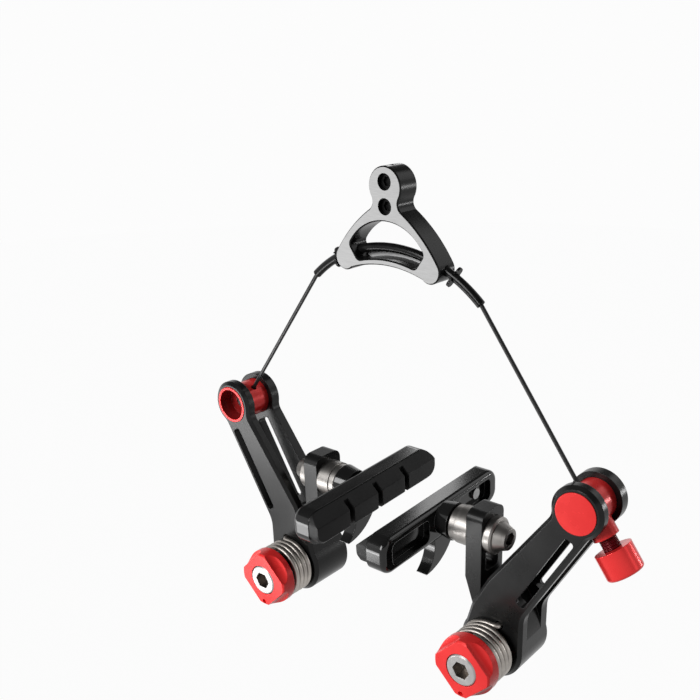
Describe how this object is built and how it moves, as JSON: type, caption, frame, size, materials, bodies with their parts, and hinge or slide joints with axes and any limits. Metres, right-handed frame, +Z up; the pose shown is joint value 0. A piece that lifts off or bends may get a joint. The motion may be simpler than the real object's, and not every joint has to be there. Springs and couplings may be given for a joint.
{
  "type": "cantilever brake",
  "caption": "Cantilever rim brake: mirrored slotted arms on pivots with sprung red nuts, grooved pads, a yoke hanger on a curved straddle-cable guide, and a knob adjuster.",
  "frame": {"origin": "midway between the two pivots, on the plane where the pivot sleeves' back ends seat on the frame", "axes": "+X across the wheel to the viewer's right, +Y rearwards to the fork along the pivots, +Z up"},
  "size_m": [0.1547, 0.058, 0.1447],
  "materials": {
    "black_anodised": "satin black anodised",
    "red_anodised": "satin red anodised",
    "hanger_anodised": "black anodised with a pale brushed front face",
    "steel": "satin",
    "silver_steel": "satin silver",
    "spring_steel": "satin",
    "black_steel": "black oxide",
    "bearing_bronze": "plain bearing bronze",
    "pad_rubber": "matt black rubber",
    "black_coated_cable": "black coated cable",
    "black_guide": "shiny black"
  },
  "bodies": {
    "pivots": {"left_pivot_sleeve": "steel", "right_pivot_sleeve": "steel", "left_mounting_bolt": "silver_steel", "right_mounting_bolt": "silver_steel", "left_return_spring": "spring_steel", "right_return_spring": "spring_steel"},
    "left_nut": {"left_tension_nut": "red_anodised"},
    "right_nut": {"right_tension_nut": "red_anodised"},
    "left_arm": {"left_arm": "black_anodised", "left_arm_bush": "bearing_bronze"},
    "right_arm": {"right_arm": "black_anodised", "right_arm_bush": "bearing_bronze"},
    "left_barrel": {"left_anchor_barrel": "red_anodised", "left_anchor_screw": "steel", "straddle_cable_left_leg": "black_coated_cable"},
    "right_barrel": {"right_adjuster_barrel": "red_anodised", "adjuster_tube": "red_anodised", "straddle_cable_right_leg": "black_coated_cable"},
    "cable_head": {"cable_head": "steel"},
    "knob": {"adjuster_knob": "red_anodised"},
    "hanger": {"hanger": "hanger_anodised", "hanger_screws": "black_steel", "guide_sleeve": "black_guide", "left_guide_clip": "black_steel", "right_guide_clip": "black_steel", "straddle_cable_middle": "black_coated_cable"},
    "left_clamp": {"left_pad_bolt": "silver_steel", "left_pad_cup_washer": "silver_steel", "left_pad_dome_washer": "silver_steel", "left_pad_outer_washer": "silver_steel"},
    "left_pad": {"left_pad_holder": "black_anodised", "left_pad_insert": "pad_rubber", "left_insert_screw": "steel"},
    "right_clamp": {"right_pad_bolt": "silver_steel", "right_pad_cup_washer": "silver_steel", "right_pad_dome_washer": "silver_steel", "right_pad_outer_washer": "silver_steel"},
    "right_pad": {"right_pad_holder": "black_anodised", "right_pad_insert": "pad_rubber", "right_insert_screw": "steel"}
  },
  "joints": [
    {"name": "left_arm_swing", "type": "hinge", "parent": "pivots", "child": "left_arm", "pos_m": [-0.04, 0, 0], "axis": [0, 1, 0], "range_deg": [-6, 6], "stiffness_Nm_per_rad": 0.6, "deforming": ["left_return_spring"]},
    {"name": "right_arm_swing", "type": "hinge", "parent": "pivots", "child": "right_arm", "pos_m": [0.04, 0, 0], "axis": [0, -1, 0], "range_deg": [-6, 6], "stiffness_Nm_per_rad": 0.6, "deforming": ["right_return_spring"]},
    {"name": "left_barrel_turn", "type": "hinge", "parent": "left_arm", "child": "left_barrel", "pos_m": [-0.0652, -0.00875, 0.05175], "axis": [0, -1, 0], "range_deg": [-12.43, 12.43]},
    {"name": "right_barrel_turn", "type": "hinge", "parent": "right_arm", "child": "right_barrel", "pos_m": [0.0652, -0.00875, 0.05175], "axis": [0, 1, 0], "range_deg": [-12.43, 12.43]},
    {"name": "hanger_lift", "type": "slide", "parent": "pivots", "child": "hanger", "axis": [0, 0, 1], "range_m": [-0.00668, 0.00668]},
    {"name": "adjuster_feed", "type": "slide", "parent": "right_barrel", "child": "cable_head", "axis": [0.5925, 0, -0.8056], "range_m": [-0.0024, 0.0024]},
    {"name": "adjuster_turn", "type": "hinge", "parent": "cable_head", "child": "knob", "pos_m": [0.0652, -0.00875, 0.05175], "axis": [0.5925, 0, -0.8056], "range_deg": [-1081, 1081]},
    {"name": "left_pad_height", "type": "slide", "parent": "left_arm", "child": "left_clamp", "axis": [0, 0, 1], "range_m": [-0.004, 0.0023]},
    {"name": "left_pad_turn", "type": "hinge", "parent": "left_clamp", "child": "left_pad", "pos_m": [-0.02, -0.00815, 0.0324], "axis": [1, 0, 0], "range_deg": [-15, 15]},
    {"name": "left_nut_turn", "type": "hinge", "parent": "pivots", "child": "left_nut", "pos_m": [-0.04, 0, 0], "axis": [0, 1, 0], "range_deg": [-90, 90]},
    {"name": "right_pad_height", "type": "slide", "parent": "right_arm", "child": "right_clamp", "axis": [0, 0, 1], "range_m": [-0.004, 0.0023]},
    {"name": "right_pad_turn", "type": "hinge", "parent": "right_clamp", "child": "right_pad", "pos_m": [0.02, -0.00815, 0.0324], "axis": [1, 0, 0], "range_deg": [-15, 15]},
    {"name": "right_nut_turn", "type": "hinge", "parent": "pivots", "child": "right_nut", "pos_m": [0.04, 0, 0], "axis": [0, 1, 0], "range_deg": [-90, 90]}
  ],
  "couplings": [
    {"joint": "right_arm_swing", "follows": "left_arm_swing", "ratio": 1},
    {"joint": "left_barrel_turn", "follows": "left_arm_swing", "ratio": 2.055},
    {"joint": "right_barrel_turn", "follows": "left_arm_swing", "ratio": 2.055},
    {"joint": "hanger_lift", "follows": "left_arm_swing", "m_per_rad": 0.0628},
    {"joint": "adjuster_turn", "follows": "adjuster_feed", "rad_per_m": 7854}
  ]
}
